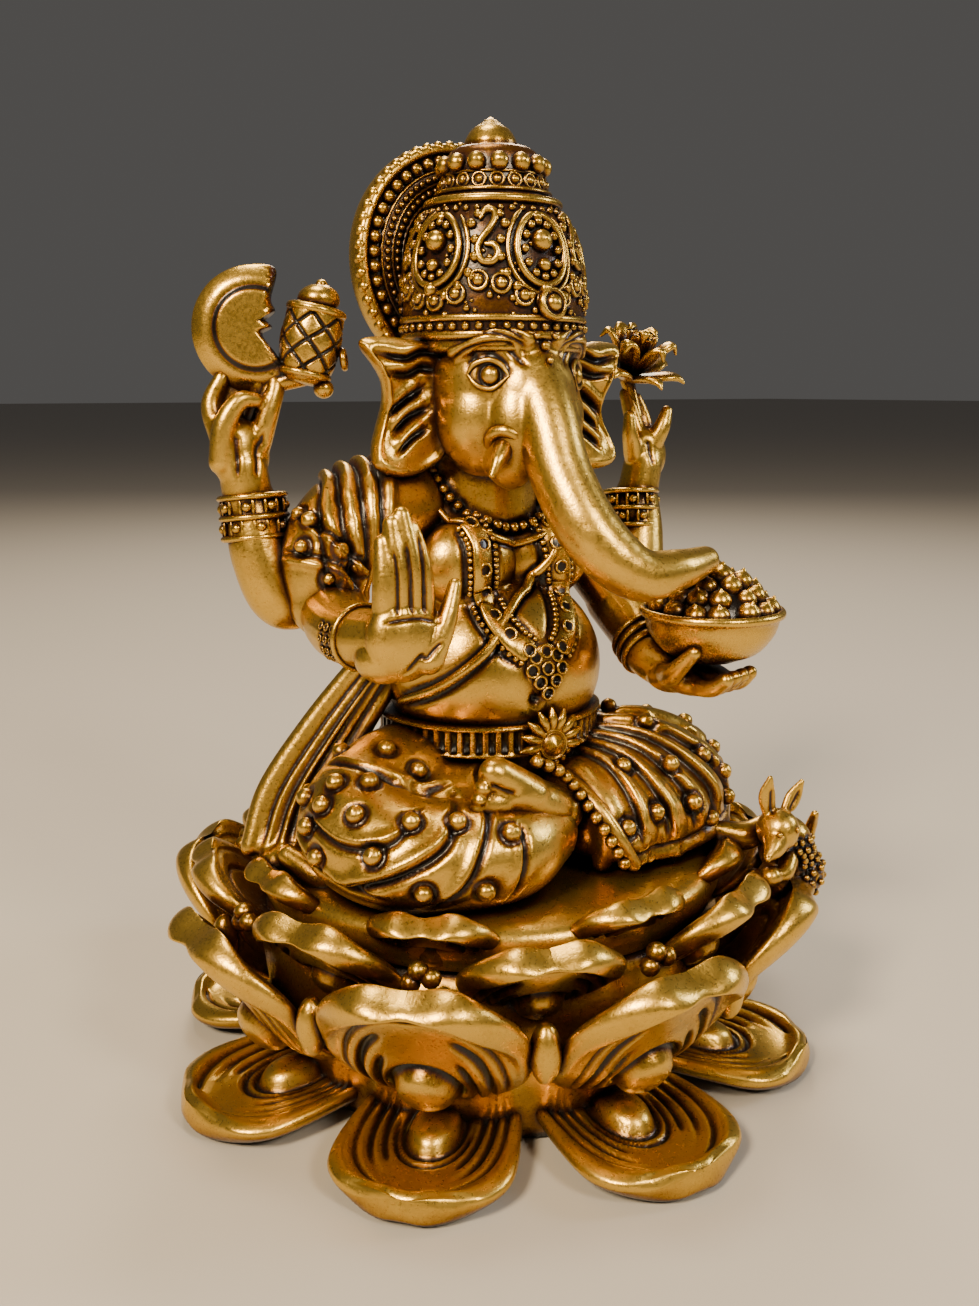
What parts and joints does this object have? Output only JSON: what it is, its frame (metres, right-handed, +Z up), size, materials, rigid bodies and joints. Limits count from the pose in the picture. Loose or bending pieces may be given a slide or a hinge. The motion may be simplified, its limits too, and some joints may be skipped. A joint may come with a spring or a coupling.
{
  "type": "ganesha idol",
  "caption": "Small seated elephant-headed deity figure with several arms on an open lotus base, holding an axe, a lotus and a bowl of sweets, with a mouse on a petal, in antique gold.",
  "frame": {"origin": "centre of the flat underside of the lotus base, on the surface that the idol stands on", "axes": "+Z up, the figure looks along -Y, its own left side is +X"},
  "size_m": [0.108, 0.108, 0.15],
  "materials": {
    "lotus_gold": "cast resin, antique gold metallic paint with dark brown patina wiped into the grooves",
    "figure_gold": "cast resin, antique gold metallic paint, polished brighter on the skin",
    "cloth_gold": "cast resin, antique gold metallic paint with orange brown undertone in the folds",
    "ornament_gold": "cast resin, antique gold metallic paint, bright on the beads and near black between them"
  },
  "bodies": {
    "root": {"lotus_core": "lotus_gold", "lotus_receptacle": "lotus_gold", "lower_petal_1": "lotus_gold", "lower_petal_2": "lotus_gold", "lower_petal_3": "lotus_gold", "lower_petal_4": "lotus_gold", "lower_petal_5": "lotus_gold", "lower_petal_6": "lotus_gold", "lower_petal_7": "lotus_gold", "lower_petal_8": "lotus_gold", "middle_petal_1": "lotus_gold", "middle_petal_2": "lotus_gold", "middle_petal_3": "lotus_gold", "middle_petal_4": "lotus_gold", "middle_petal_5": "lotus_gold", "middle_petal_6": "lotus_gold", "middle_petal_7": "lotus_gold", "middle_petal_8": "lotus_gold", "upper_petal_1": "lotus_gold", "upper_petal_2": "lotus_gold", "upper_petal_3": "lotus_gold", "upper_petal_4": "lotus_gold", "upper_petal_5": "lotus_gold", "upper_petal_6": "lotus_gold", "upper_petal_7": "lotus_gold", "upper_petal_8": "lotus_gold", "torso": "figure_gold", "left_foot": "figure_gold", "head": "figure_gold", "trunk": "figure_gold", "right_ear": "figure_gold", "left_ear": "figure_gold", "right_tusk": "figure_gold", "left_tusk": "figure_gold", "rear_right_upper_arm": "figure_gold", "rear_left_upper_arm": "figure_gold", "rear_right_forearm": "figure_gold", "rear_left_forearm": "figure_gold", "front_right_forearm": "figure_gold", "front_left_forearm": "figure_gold", "mouse": "figure_gold", "right_leg": "cloth_gold", "left_leg": "cloth_gold", "front_right_upper_arm": "cloth_gold", "front_left_upper_arm": "cloth_gold", "shawl": "cloth_gold", "crown": "ornament_gold", "crown_finial": "ornament_gold", "halo": "ornament_gold", "rear_right_bangle": "ornament_gold", "rear_left_bangle": "ornament_gold", "axe": "ornament_gold", "bound_bundle": "ornament_gold", "held_lotus": "ornament_gold", "sweets_bowl": "ornament_gold", "sweets_heap": "ornament_gold", "waist_belt": "ornament_gold", "belt_buckle": "ornament_gold", "garland": "ornament_gold"}
  },
  "joints": []
}
